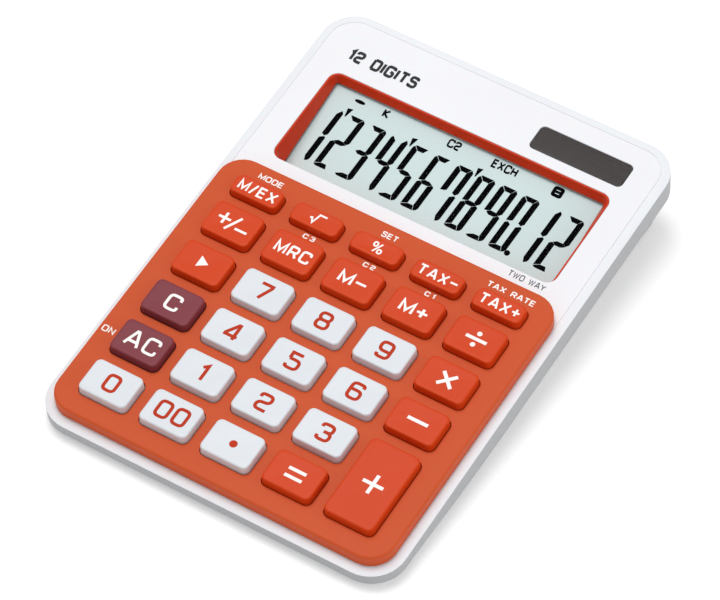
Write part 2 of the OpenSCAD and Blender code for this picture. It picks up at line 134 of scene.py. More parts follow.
CASE = deck_box("top_case")
CASE_W = CASE[1][0] - CASE[0][0]
CASE_L = CASE[1][1] - CASE[0][1]
PANEL = deck_box("key_panel")
PANEL_L = PANEL[1][1] - PANEL[0][1]
PANEL_TOP = PANEL[1][2]
RIM = PANEL[0][1]
WINDOW = deck_box("display_frame")
FRAME_FLANGE = 0.8
WINDOW_W = WINDOW[1][0] - WINDOW[0][0] - 2 * FRAME_FLANGE
WINDOW_L = WINDOW[1][1] - WINDOW[0][1] - 2 * FRAME_FLANGE
WINDOW_Y = (WINDOW[0][1] + WINDOW[1][1]) / 2
SOLAR = deck_box("solar_window")
SOLAR_MID = (SOLAR[0] + SOLAR[1]) / 2
SOLAR_SIZE = SOLAR[1] - SOLAR[0]
CELL = deck_box("solar_cell")
CASE_CORNER, PANEL_CORNER, KEY_CORNER = 9.7, 7.1, 1.8

# The display glass's own frame: its rear edge line, the way along it and square to it
_lens = to_deck(node_points("display_window"))
_front, _rear = _lens[_lens[:, 1].argmin()], _lens[_lens[:, 2].argmax()]
LCD_TILT = math.atan2(_rear[2] - _front[2], _rear[1] - _front[1])
LENS_T, SIDE_LAP, REAR_LAP, BOTH_LAPS, GLASS_LIFT = 0.8, 1.5, 1.1, 2.3, 0.05
LCD_W = np.ptp(_lens[:, 0]) - 2 * SIDE_LAP
LCD_L = math.hypot(_rear[1] - _front[1], _rear[2] - _front[2]) - BOTH_LAPS


def on_glass(points):
    """Deck points of points on the glass: x across, y along it from its rear edge."""
    p = np.asarray(points, float)
    c, s = math.cos(LCD_TILT), math.sin(LCD_TILT)
    y = p[..., 1] - REAR_LAP
    z = p[..., 2] + GLASS_LIFT
    return np.stack(
        [p[..., 0], _rear[1] + y * c - z * s, _rear[2] + y * s + z * c], -1
    )


# ---------------------------------------------------------------- surfaces


def outline(w, l, r, cx=0.0, cy=0.0, arc=7, xs=(), ys=()):
    """A rounded rectangle as a closed loop, counterclockwise from the front right corner.

    Corner k turns a quarter circle of radius r[k]; the straight right and left sides
    also pass the stops ys, and the front and rear sides the stops xs.
    """
    r = np.broadcast_to(np.asarray(r, float), (4,))
    t = np.linspace(0, math.pi / 2, arc + 1)
    sx, sy = np.array([1, 1, -1, -1]), np.array([-1, 1, 1, -1])
    corners = []
    for k in range(4):
        a = t + (k - 1) * math.pi / 2
        x = cx + sx[k] * (w / 2 - r[k]) + r[k] * np.cos(a)
        y = cy + sy[k] * (l / 2 - r[k]) + r[k] * np.sin(a)
        corners.append(np.stack([x, y], -1))
    ys, xs = np.asarray(ys, float), np.asarray(xs, float)
    right = np.stack([np.full(len(ys), cx + w / 2), ys], -1)
    rear = np.stack([xs[::-1], np.full(len(xs), cy + l / 2)], -1)
    left = np.stack([np.full(len(ys), cx - w / 2), ys[::-1]], -1)
    front = np.stack([xs, np.full(len(xs), cy - l / 2)], -1)
    return np.concatenate(
        [corners[0], right, corners[1], rear, corners[2], left, corners[3], front]
    )


def at(loop, z):
    """A flat loop put at height z."""
    z = np.broadcast_to(np.asarray(z, float), (len(loop),))
    return np.column_stack([loop, z])


def centre_of(row):
    """A row of the same length, drawn together into its middle."""
    return np.broadcast_to((row.min(0) + row.max(0)) / 2, row.shape)


def skin(rows, across=False, close=True):
    """Quads between each row of points and the next, P(i, j) over a grid.

    j runs round each row and closes; with across, i closes too. Rows that run
    counterclockwise and go outwards or downwards give faces that point outwards.
    """
    grid = np.stack([np.asarray(r, float) for r in rows])
    n, m = grid.shape[:2]
    i = np.arange(n if across else n - 1)[:, None]
    j = np.arange(m if close else m - 1)[None, :]
    a, b = i * m + j, (i + 1) % n * m + j
    c, d = (i + 1) % n * m + (j + 1) % m, i * m + (j + 1) % m
    return grid.reshape(-1, 3), np.stack([a, b, c, d], -1).reshape(-1, 4)


def capped(rows):
    """A closed form: the skin of the rows, with the first and the last filled in."""
    return skin([centre_of(rows[0])] + rows + [centre_of(rows[-1])])


def stacked(w, l, r, profile, cx=0.0, cy=0.0, arc=7, least=0.02):
    """Rows of the outline w by l, moved in by each inset of the profile and put at its
    height, P(k, j) = outline(w - 2 i_k, l - 2 i_k, r - i_k) at z_k."""
    return [
        at(outline(w - 2 * i, l - 2 * i, max(r - i, least), cx, cy, arc), z)
        for i, z in profile
    ]


def lathed(profile, x, y, steps=6):
    """A closed round form about x, y: a circle of each radius r at its height z."""
    return capped([at(outline(2 * r, 2 * r, r - 1e-3, x, y, steps), z) for r, z in profile])


def fillet(inset, z, radius, steps=4, rise=1):
    """Profile of a quarter circle from the flat top at inset + radius to the side at
    inset: (inset + R (1 - sin a), z - R (1 - cos a)), and upside down for rise -1."""
    a = np.linspace(0, math.pi / 2, steps + 1)
    pairs = np.column_stack(
        [inset + radius * (1 - np.sin(a)), z - rise * radius * (1 - np.cos(a))]
    )
    return [tuple(p) for p in (pairs if rise > 0 else pairs[::-1])]


def tube(w, l, r, z0, z1, edge=0.15, cx=0.0, cy=0.0, arc=7):
    """A closed slab from z1 down to z0, its outline w by l, with both edges rounded."""
    profile = fillet(0, z1, edge) + fillet(0, z0, edge, rise=-1)
    return capped(stacked(w, l, r, profile, cx, cy, arc))


def rounded_path(points, closed, radius, steps=5):
    """A polyline with its corners P rounded to a parabola between the points that lie
    radius before and after P: B(t) = (1-t)^2 A + 2t(1-t) P + t^2 C."""
    p = np.asarray(points, float)
    if radius <= 0 or (len(p) < 3 and not closed):
        return p
    before, after = np.roll(p, 1, 0), np.roll(p, -1, 0)
    if not closed:
        before, mid, after = p[:-2], p[1:-1], p[2:]
    else:
        mid = p
    la = np.linalg.norm(before - mid, axis=1, keepdims=True)
    lc = np.linalg.norm(after - mid, axis=1, keepdims=True)
    a = mid + (before - mid) / la * np.minimum(radius, la * 0.5)
    c = mid + (after - mid) / lc * np.minimum(radius, lc * 0.5)
    t = np.linspace(0, 1, steps + 1)[None, :, None]
    curve = (1 - t) ** 2 * a[:, None] + 2 * t * (1 - t) * mid[:, None] + t**2 * c[:, None]
    curve = curve.reshape(-1, 2)
    path = curve if closed else np.concatenate([p[:1], curve, p[-1:]])
    gap = np.linalg.norm(path - np.roll(path, 1, 0), axis=1)
    keep = gap > 1e-4
    if not closed:
        keep[0] = True
    return path[keep]


def ribbon(path, closed, width, z0, z1):
    """A raised stroke: the path carried half the width to each side along its mitred
    normal, and from z0 up to z1, closed round its four corners and at its ends."""
    ahead, behind = np.roll(path, -1, 0) - path, path - np.roll(path, 1, 0)
    if not closed:
        ahead[-1], behind[0] = behind[-1], ahead[0]
    u = ahead / np.linalg.norm(ahead, axis=1, keepdims=True)
    v = behind / np.linalg.norm(behind, axis=1, keepdims=True)
    mid = u + v
    mid /= np.maximum(np.linalg.norm(mid, axis=1, keepdims=True), 1e-6)
    cos_half = np.clip((mid * u).sum(1, keepdims=True), 0.45, 1)
    side = np.column_stack([-mid[:, 1], mid[:, 0]]) * (width / 2) / cos_half
    left, right = path + side, path - side
    rows = [at(left, z0), at(left, z1), at(right, z1), at(right, z0)]
    if not closed:
        rows = [np.concatenate([centre_row(rows, 0), r, centre_row(rows, -1)]) for r in rows]
    verts, faces = skin(rows, across=True, close=closed)
    return verts, faces[:, ::-1]


def centre_row(rows, k):
    """The middle of a stroke's end, which closes it."""
    return np.mean([r[k] for r in rows], axis=0)[None]


def flat_shape(points, z0, z1):
    """A raised flat shape with a convex outline, from z0 up to z1, counterclockwise."""
    p = np.asarray(points, float)
    return capped([at(p, z1), at(p, z0)])


# ---------------------------------------------------------------- lettering

# Width and strokes of each character, on a grid ten units high. "~" rounds the corners,
# "o" closes the stroke, "@" is a dot and "^" a filled shape.
GLYPHS = {
    "0": (7, ["~0,0 7,0 7,10 0,10 o"]),
    "1": (3.2, ["0,7.9 2.6,10 2.6,0"]),
    "2": (7, ["~0,7.6 0,10 7,10 7,5.3 0,4.6 0,0 7,0"]),
    "3": (7, ["~0,7.8 0,10 6.8,10 6.8,5.2 2.2,5.2", "~2.2,5.2 7,5.2 7,0 0,0 0,2.2"]),
    "4": (7.4, ["5.6,0 5.6,10 4.8,10 0,3 0,2.2 7.4,2.2"]),
    "5": (7, ["6.6,10 0.3,10 0.3,6.1", "~0.3,6 7,6 7,0 0,0 0,2"]),
    "6": (7, ["~6.8,8 6.8,10 0,10 0,0 7,0 7,5.7 0,5.7"]),
    "7": (6.8, ["0,10 6.8,10 6.8,9 2.6,0"]),
    "8": (7, ["~0.2,5.3 6.8,5.3 6.8,10 0.2,10 o", "~0,0 7,0 7,5.3 0,5.3 o"]),
    "9": (7, ["~0.2,2 0.2,0 7,0 7,10 0,10 0,4.3 7,4.3"]),
    "A": (8.6, ["0,0 3.7,10 4.9,10 8.6,0", "1.4,3 7.2,3"]),
    "C": (7.8, ["~7.8,7.2 7.8,10 0,10 0,0 7.8,0 7.8,2.8"]),
    "D": (7.6, ["~0,10 7.6,10 7.6,0 0,0", "0,0 0,10"]),
    "E": (6.6, ["6.6,10 0,10 0,0 6.6,0", "0,5.2 6,5.2"]),
    "G": (7.8, ["~7.8,7.6 7.8,10 0,10 0,0 7.8,0 7.8,4.8 4.4,4.8"]),
    "H": (7.4, ["0,0 0,10", "7.4,0 7.4,10", "0,5.2 7.4,5.2"]),
    "I": (0.6, ["0.3,0 0.3,10"]),
    "K": (7.4, ["0,0 0,10", "6.8,10 0.4,5 7.2,0"]),
    "M": (9, ["0,0 0,10 4.5,1.2 9,10 9,0"]),
    "N": (7.6, ["0,0 0,10 7.6,0 7.6,10"]),
    "O": (8, ["~0,0 8,0 8,10 0,10 o"]),
    "R": (7.4, ["0,0 0,10", "~0,10 7.2,10 7.2,4.6 0,4.6", "4.4,4.6 7.4,0"]),
    "S": (7.2, ["~7,7.8 7,10 0.2,10 0.2,5.4 7.2,5.4 7.2,0 0,0 0,2.2"]),
    "T": (7.6, ["0,10 7.6,10", "3.8,10 3.8,0"]),
    "W": (11, ["0,10 2.8,0 5.5,9 8.2,0 11,10"]),
    "X": (8, ["0,0 8,10", "0,10 8,0"]),
    "Y": (8, ["0,10 4,4.6 8,10", "4,4.6 4,0"]),
    "/": (4.4, ["0,-0.6 4.4,10.6"]),
    "%": (9.6, ["~0,5.8 3.4,5.8 3.4,10 0,10 o", "~6.2,0 9.6,0 9.6,4.2 6.2,4.2 o",
                "2.2,0 7.4,10"]),
    "root": (13, ["0,4.4 1.8,5 4,0.4 6.6,10 13,10"]),
    "+": (8, ["0,5 8,5", "4,1 4,9"]),
    "-": (8, ["0,5 8,5"]),
    "=": (22, ["0,0 22,0", "0,10 22,10"]),
    "*": (8, ["0,1 8,9", "0,9 8,1"]),
    ":": (9, ["0,5 9,5", "@4.5,2.3", "@4.5,7.7"]),
    "sign": (21, ["0,6.2 8,6.2", "4,2.2 4,10.2", "7.4,-0.5 13.4,10.5", "13,2.4 21,2.4"]),
    "play": (8, ["^0,0 8,5 0,10"]),
    "dot": (2, ["@1,5"]),
    " ": (5, []),
}


def glyph(name, unit, weight, z0, z1):
    """The strokes of one character, its lower left corner at the origin."""
    parts = []
    for n, text in enumerate(GLYPHS[name][1]):
        mark = text[0] if text[0] in "~@^" else ""
        words = text.lstrip("~@^").split()
        closed = words[-1] == "o"
        points = np.array([w.split(",") for w in words if w != "o"], float)
        points = points * unit
        top = z1 + 0.003 * n
        if mark == "@":
            a = np.linspace(0, 2 * math.pi, 24, endpoint=False)
            ring = points[0] + weight * 0.72 * np.column_stack([np.cos(a), np.sin(a)])
            parts.append(flat_shape(ring, z0, top))
        elif mark == "^":
            parts.append(flat_shape(points, z0, top))
        else:
            path = rounded_path(points, closed, 2.6 * unit if mark else 0)
            parts.append(ribbon(path, closed, weight, z0, top))
    return parts


def lettering(words, cx, cy, height, weight, z0, z1, stretch=1.0, gap=0.28):
    """A line of characters, centred on cx, cy: each advances by its width plus gap
    times the height. Stroke centrelines are height less one weight apart."""
    unit = (height - weight) / 10
    widths = np.array([GLYPHS[c][0] * unit * stretch for c in words])
    advance = widths + gap * height + weight * 0.2
    starts = cx - (advance.sum() - gap * height - weight * 0.2) / 2 + np.cumsum(
        np.concatenate([[0], advance[:-1]])
    )
    parts = []
    for c, x in zip(words, starts):
        for verts, faces in glyph(c, unit, weight, z0, z1):
            verts = verts * (stretch, 1, 1) + (x, cy - 5 * unit, 0)
            parts.append((verts, faces))
    return parts


# ---------------------------------------------------------------- meshes and pieces


SMOOTH_UP_TO = math.radians(38)


def mesh_object(name, parts, weld=True):
    """One object from parts of (deck points, faces), its doubles merged, its faces
    smooth up to the angle above."""
    count, verts, faces = 0, [], []
    for points, quads in parts:
        verts.append(to_model(points))
        faces.append(np.asarray(quads) + count)
        count += len(points)
    co, quads = np.concatenate(verts), np.concatenate(faces)
    mesh = bpy.data.meshes.new(name)
    mesh.from_pydata(co.tolist(), [], quads.tolist())
    if weld:
        b = bmesh.new()
        b.from_mesh(mesh)
        bmesh.ops.remove_doubles(b, verts=b.verts, dist=2e-6)
        bmesh.ops.dissolve_degenerate(b, edges=b.edges, dist=1e-7)
        b.to_mesh(mesh)
        b.free()
    mesh.shade_smooth()
    mesh.set_sharp_from_angle(angle=SMOOTH_UP_TO)
    obj = bpy.data.objects.new(name, mesh)
    bpy.context.scene.collection.objects.link(obj)
    return obj


def weigh(obj):
    """Normals that follow the large faces, so that flats stay flat beside fillets."""
    mod = obj.modifiers.new("Flat faces", "WEIGHTED_NORMAL")
    mod.keep_sharp = True


def piece(name, parts, material, body="casing", nodes=(), weld=True, flat=True):
    """Makes a piece, gives it its material and puts it on its body."""
    obj = mesh_object(name, parts, weld)
    if flat:
        weigh(obj)
    obj.data.materials.append(material)
    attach(obj, body)
    if nodes:
        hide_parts(*nodes)
    return obj


def dress(node, material):
    """A CAD node keeps its shape and takes a finish."""
    obj = NODES[node]
    if not obj.material_slots:
        obj.data.materials.append(material)
    for s in obj.material_slots:
        s.material = material


# ---------------------------------------------------------------- finishes


def srgb(r, g, b):
    """Linear colour of an sRGB colour given from 0 to 255."""
    c = np.array([r, g, b]) / 255
    return tuple(np.where(c <= 0.04045, c / 12.92, ((c + 0.055) / 1.055) ** 2.4))


def add(tree, kind, values=(), operation=None):
    """A new shader node, what it works out, and the values of its sockets."""
    node = tree.nodes.new("ShaderNode" + kind)
    if operation:
        node.operation = operation
    for socket, value in dict(values).items():
        node.inputs[socket].default_value = value
    return node


def of_type(tree, kind):
    """The first node of a type."""
    return next(n for n in tree.nodes if n.type == kind)


def finish(name, colour, rough=0.4, spread=0.05, tone=0.04, grain=0.35, bump=0.05,
           cloud=18.0, **shader):
    """Moulded finish: a broad cloud of tone (cloud mm across) over a fine grain (grain
    mm across), which also sets how the roughness varies by spread and the relief."""
    material = bpy.data.materials.get(name)
    if material:
        return material
    material = bpy.data.materials.new(name)
    material.use_nodes = True
    tree = material.node_tree
    link = tree.links.new
    low, high = 0.3, 0.7
    bsdf = of_type(tree, "BSDF_PRINCIPLED")
    where = add(tree, "TexCoord").outputs["Object"]
    broad = add(tree, "TexNoise", {"Scale": 1000 / cloud, "Detail": 3})
    fine = add(tree, "TexNoise", {"Scale": 1000 / grain, "Detail": 2})
    ramp = add(tree, "ValToRGB")
    c = np.array(colour[:3])
    for k, place, shade in ((0, low, 1 - tone), (1, high, 1 + tone)):
        ramp.color_ramp.elements[k].position = place
        ramp.color_ramp.elements[k].color = (*np.clip(c * shade, 0, 1), 1)
    blend = add(tree, "Math", {1: 0.3}, "MULTIPLY_ADD")
    shift = add(tree, "Math", {1: 0.15}, "SUBTRACT")
    reach = add(tree, "MapRange", {"From Min": low, "From Max": high,
                                   "To Min": max(rough - spread, 0.02), "To Max": rough + spread})
    relief = add(tree, "Bump", {"Strength": bump, "Distance": grain / 4000})
    link(where, broad.inputs["Vector"])
    link(where, fine.inputs["Vector"])
    link(fine.outputs["Fac"], blend.inputs[0])
    link(broad.outputs["Fac"], blend.inputs[2])
    link(blend.outputs[0], shift.inputs[0])
    link(shift.outputs[0], ramp.inputs["Fac"])
    link(ramp.outputs["Color"], bsdf.inputs["Base Color"])
    link(fine.outputs["Fac"], reach.inputs["Value"])
    link(reach.outputs["Result"], bsdf.inputs["Roughness"])
    link(fine.outputs["Fac"], relief.inputs["Height"])
    link(relief.outputs["Normal"], bsdf.inputs["Normal"])
    for socket, value in shader.items():
        bsdf.inputs[socket.replace("_", " ")].default_value = value
    return material


def striped(material, spacing, colour, share=0.12):
    """Adds thin lines across a finish, spacing mm apart along x."""
    tree = material.node_tree
    link = tree.links.new
    bsdf = of_type(tree, "BSDF_PRINCIPLED")
    base = bsdf.inputs["Base Color"].links[0].from_socket
    split = add(tree, "SeparateXYZ")
    link(of_type(tree, "TEX_COORD").outputs["Object"], split.inputs[0])
    step = add(tree, "Math", {1: spacing / 2000}, "PINGPONG")
    link(split.outputs[0], step.inputs[0])
    line = add(tree, "Math", {1: spacing * share / 2000}, "LESS_THAN")
    link(step.outputs[0], line.inputs[0])
    mix = add(tree, "Mix")
    mix.data_type = "RGBA"
    mix.inputs["B"].default_value = (*colour, 1)
    link(line.outputs[0], mix.inputs["Factor"])
    link(base, mix.inputs[6])
    link(mix.outputs[2], bsdf.inputs["Base Color"])
    return material


def colour(name):
    """A colour of the panel, as a plain tuple."""
    return tuple(getattr(bpy.context.scene.calculator_colours, name))


def sizes():
    """The sizes of the panel."""
    return bpy.context.scene.calculator_sizes


# ---------------------------------------------------------------- properties


def length(name, description, default_mm, low=0.0, high=20.0):
    """A length property given in mm and kept in metres."""
    return FloatProperty(
        name=name, description=description, default=default_mm / 1000, min=low / 1000,
        max=high / 1000, precision=5, unit="LENGTH", subtype="DISTANCE",
    )


def paint(name, description, r, g, b):
    """A colour property given as sRGB."""
    return FloatVectorProperty(
        name=name, description=description, default=srgb(r, g, b), size=3, min=0, max=1,
        subtype="COLOR",
    )


class CalculatorSizes(bpy.types.PropertyGroup):
    """Sizes of the finished details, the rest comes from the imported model."""

    key_edge: length("Key edge", "Radius of the edge round a key's top", 0.5, 0.1, 1)
    key_draft: length("Key draft", "How far a key's side leans in at its top", 0.2, 0, 0.6)
    key_dish: length("Key dish", "Depth of the hollow in a key's top", 0.1, 0, 0.4)
    panel_edge: length("Panel edge", "Radius of the key panel's upper edge", 0.75, 0.2, 1.5)
    hole_edge: length("Hole edge", "Radius of the edge round a key's hole", 0.12, 0.02, 0.5)
    hole_gap: length("Hole gap", "Gap between a key and its hole", 0.2, 0.1, 0.5)
    rim_edge: length("Rim edge", "Radius of the white case's outer edge", 0.18, 0.05, 0.3)
    case_edge: length("Case edge", "Radius of the grey case's edges", 0.45, 0.1, 1.2)
    deck_edge: length("Deck edge", "Radius of the edge round the deck's openings", 0.2,
                      0.02, 0.5)
    legend_relief: length("Legend relief", "Height of a printed legend", 0.03, 0.01, 0.1)
    digit_height: length("Digit height", "Height of a display digit", 17.4, 8, 22)
    digit_pitch: length("Digit pitch", "Distance between display digits", 6.685, 4, 8)
    digit_slant: FloatProperty(
        name="Digit slant", description="Lean of the display digits", default=math.radians(4),
        min=0, max=math.radians(15), subtype="ANGLE",
    )
    corner_steps: IntProperty(
        name="Corner steps", description="Facets in a quarter circle", default=7, min=3, max=16,
    )


class CalculatorColours(bpy.types.PropertyGroup):
    """Colours of the plastics, the display and the legends."""

    case_white: paint("White case", "Upper case", 237, 237, 241)
    case_grey: paint("Grey case", "Lower case", 168, 169, 171)
    panel_orange: paint("Key panel", "Key panel's plastic", 204, 84, 42)
    frame_orange: paint("Display frame", "Display frame's plastic", 206, 56, 18)
    key_orange: paint("Orange key", "Function keys", 210, 66, 18)
    key_white: paint("White key", "Digit keys", 219, 223, 228)
    key_plum: paint("Plum key", "Clearing keys", 128, 58, 66)
    legend_red: paint("Red legend", "Print on the white keys", 188, 54, 22)
    legend_white: paint("White legend", "Print on the coloured keys", 250, 247, 244)
    print_dark: paint("Dark print", "Print on the white deck", 44, 44, 47)
    lcd_film: paint("Display ground", "Display without its segments", 209, 229, 229)
    lcd_ink: paint("Display segment", "Switched segments", 6, 6, 8)
    solar: paint("Solar cell", "Smoked solar window", 58, 53, 51)


# ---------------------------------------------------------------- case


class CALCULATOR_OT_case(bpy.types.Operator):
    """White upper case: rim, bevel, border groove, three openings and screw posts"""

    bl_idname = "calculator.case"
    bl_label = "White case"

    def execute(self, context):
        s = sizes()
        white = finish("White plastic", colour("case_white"), rough=0.36, spread=0.05,
                       tone=0.012, grain=0.3, bump=0.06, cloud=30,
                       Subsurface_Weight=0.08, Subsurface_Scale=0.002,
                       Specular_IOR_Level=0.3)
        arc, edge = 10, s.deck_edge * 1000
        depth, skirt, land = 1.8, 0.65, 1.75
        w, l, mid = CASE_W, CASE_L, CASE_L / 2
        corner = CASE_CORNER
        cuts = (PANEL[0][1] + PANEL_L + 2.4, WINDOW_Y + WINDOW_L / 2 + 1.3)
        round_edge = s.rim_edge * 1000

        def ring(inset, z):
            return at(
                outline(w - 2 * inset, l - 2 * inset, corner - inset, 0, mid, arc, ys=cuts), z
            )

        drop, seam = 0.45, 0.28
        steps = np.linspace(0, 1, 5)
        groove = [ring(RIM - seam * t, z) for t, z in
                  ((0, 0), (0.15, -0.2), (0.7, -0.22), (0.85, -0.06))]
        bevel = groove + [
            ring(RIM - seam - (RIM - seam - round_edge) * t, -0.03 - (drop - 0.03) * t**1.15)
            for t in steps
        ]
        wall = [
            ring(round_edge * (1 - math.sin(a)) * 0.6, -drop - round_edge * (1 - math.cos(a)) * 0.6)
            for a in np.linspace(0.5, math.pi / 2, 4)
        ]
        under = [ring(0, -skirt), ring(land, -skirt), ring(land, -depth), ring(RIM, -depth)]
        parts = [skin(bevel + wall + under)]

        inner_w, inner_l = w - 2 * RIM, l - 2 * RIM
        r = corner - RIM
        well = (inner_w - 4, PANEL_L - 4, r - 2, 0, RIM + PANEL_L / 2)
        window = (WINDOW_W, WINDOW_L, 3, 0, WINDOW_Y)
        solar = (SOLAR_SIZE[0] + 0.15, SOLAR_SIZE[1] - 0.25, 1.5, SOLAR_MID[0],
                 SOLAR_MID[1] + 0.2)
        fronts = (RIM, cuts[0], cuts[1], l - RIM)
        corners = ((r, 0, 0, r), (0, 0, 0, 0), (0, r, r, 0))
        pocket = 0.9
        for k, (ow, ol, o_r, ox, oy) in enumerate((well, window, solar)):
            border = outline(inner_w, fronts[k + 1] - fronts[k], corners[k], 0,
                             (fronts[k] + fronts[k + 1]) / 2, arc)

            def opening(inset, z, extra=0.0):
                return at(outline(ow + 2 * (extra - inset), ol + 2 * (extra - inset),
                                  o_r - inset, ox, oy, arc), z)

            step = [opening(0, -depth)]
            if k == 2:
                step = [opening(0, -depth, pocket), opening(0, CELL[1][2] + 0.05, pocket),
                        opening(0, CELL[1][2] + 0.05)]
            lip = [
                opening(-edge * (1 - math.cos(a)), -edge * (1 - math.sin(a)))
                for a in np.linspace(0, math.pi / 2, 5)
            ]
            parts.append(skin([at(border, -depth)] + step + lip + [at(border, 0)]))
        post_r, bore, foot = 2.1, 1.1, -9
        for x, y, _ in centres(to_deck(node_points("case_screws")), 3):
            parts.append(hollow_post(x, y, post_r, bore, foot, -depth + 0.1))
        piece("case_top", parts, white, nodes=["top_case"])
        return {"FINISHED"}


def hollow_post(x, y, r, bore, z0, z1):
    """A round post with a blind bore: outer radius r, open at its lower end z0."""
    profile = [(0, z1), (0, z0 + 0.15), (0.15, z0), (r - bore, z0), (r - bore, z1 - 0.6)]
    return lathed([(r - i, z) for i, z in profile], x, y)


class CALCULATOR_OT_back(bpy.types.Operator):
    """Grey lower case with rounded edges, its feet and its screws"""

    bl_idname = "calculator.back"
    bl_label = "Grey case, feet and screws"

    def execute(self, context):
        s = sizes()
        grey = finish("Grey plastic", colour("case_grey"), rough=0.52, spread=0.06,
                      tone=0.02, grain=0.45, bump=0.25, cloud=22)
        source = NODES["back_case"]
        mesh = source.data.copy()
        mesh.name = "case_back"
        b = bmesh.new()
        b.from_mesh(mesh)
        bmesh.ops.remove_doubles(b, verts=b.verts, dist=1e-6)
        bmesh.ops.dissolve_limit(b, angle_limit=math.radians(1.2), verts=b.verts, edges=b.edges)
        b.to_mesh(mesh)
        b.free()
        mesh.materials.clear()
        mesh.materials.append(grey)
        obj = bpy.data.objects.new("case_back", mesh)
        context.scene.collection.objects.link(obj)
        mesh.shade_smooth()
        mesh.set_sharp_from_angle(angle=math.radians(35))
        bevel = obj.modifiers.new("Edges", "BEVEL")
        bevel.width = s.case_edge
        bevel.segments = 3
        bevel.limit_method = "ANGLE"
        bevel.angle_limit = math.radians(35)
        bevel.use_clamp_overlap = True
        bevel.harden_normals = True
        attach(obj, "casing")
        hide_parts("back_case")

        rubber = finish("Foot rubber", srgb(52, 52, 54), rough=0.75, tone=0.1, grain=0.5, bump=0.4)
        feet = node_points("rubber_feet") * 1000
        parts = []
        for x, y, _ in centres(feet, 12):
            points, faces = lathed([(4.5, feet[:, 2].max()), (4.5, 0.35), (4.37, 0.1), (4.1, 0.0),
                                    (3.3, 0.0), (3.1, 0.12), (1.6, 0.12)], x, y, 8)
            parts.append((to_deck(points / 1000), faces))
        piece("feet", parts, rubber, nodes=["rubber_feet"])

        steel = finish("Screw steel", srgb(168, 168, 170), rough=0.3, tone=0.05, grain=0.2,
                       Metallic=1.0)
        for name, node, head_r, shank_r, head_h in [
            ("screws_case", "case_screws", 2.0, 1.0, 1.4),
            ("screws_board", "board_screws", 1.4, 0.6, 0.8),
        ]:
            points = to_deck(node_points(node))
            low, high = points[:, 2].min(), points[:, 2].max()
            parts = [screw(x, y, low, high, head_r, shank_r, head_h)
                     for x, y, _ in centres(points, 3)]
            piece(name, parts, steel, nodes=[node])
        return {"FINISHED"}


def screw(x, y, low, high, head_r, shank_r, head_h):
    """A pan-head screw with its head down: a domed head with four dents in a cross,
    z = low + 0.3 h max(cos 4a, 0)^3, and a shank whose radius swells with the sine of
    the height."""
    a = np.linspace(0, 2 * math.pi, 48, endpoint=False)
    ring = np.column_stack([np.cos(a), np.sin(a)])
    cross = np.clip(np.cos(4 * a), 0, 1) ** 3
    rows = []
    turns = np.linspace(high, low + head_h, 34)
    for k, z in enumerate(turns):
        swell = 1 - 0.16 * (0.5 + 0.5 * math.sin(k * 1.9))
        taper = min(1.0, 0.25 + (high - z) / 0.9)
        rows.append(at(ring * shank_r * swell * taper + (x, y), z))
    for share, z in [(1.0, head_h), (1.0, head_h * 0.45), (0.93, head_h * 0.2),
                     (0.75, head_h * 0.06)]:
        rows.append(at(ring * head_r * share + (x, y), low + z))
    rows.append(at(ring * head_r * 0.55 + (x, y), low))
    rows.append(at(ring * head_r * 0.4 + (x, y), low + head_h * 0.3 * cross))
    rows.append(at(ring * head_r * 0.15 + (x, y), low + head_h * 0.45))
    return capped(rows)


# ---------------------------------------------------------------- keys


FLANGE, FLANGE_Z = 0.5, 1.45


def key_places():
    """Name: (middle x, middle y, width, length, flange bottom, top) of each key."""
    places = {}
    for name in KEY_NAMES:
        lo, hi = deck_box(name)
        w, l, _ = hi - lo - 2 * FLANGE
        places[name] = ((lo[0] + hi[0]) / 2, (lo[1] + hi[1]) / 2, w, l, lo[2], hi[2])
    return places


KEYS = key_places()
COLUMNS = sorted({round(k[0], 2) for k in KEYS.values()})
PLUM_KEYS = ("key_ac", "key_c")
WHITE_KEYS = ("key_point", "key_00") + tuple(f"key_{n}" for n in range(10))


def dished(points, x, y, w, l, inset, top, dish):
    """Heights of a key's top, z = top - dish (1 - (x/a)^2)(1 - (y/b)^2), where a and b
    are half the key's size less the inset."""
    u = np.clip(np.abs(points[:, 0] - x) / (w / 2 - inset), 0, 1) ** 2
    v = np.clip(np.abs(points[:, 1] - y) / (l / 2 - inset), 0, 1) ** 2
    return top - dish * (1 - u) * (1 - v)


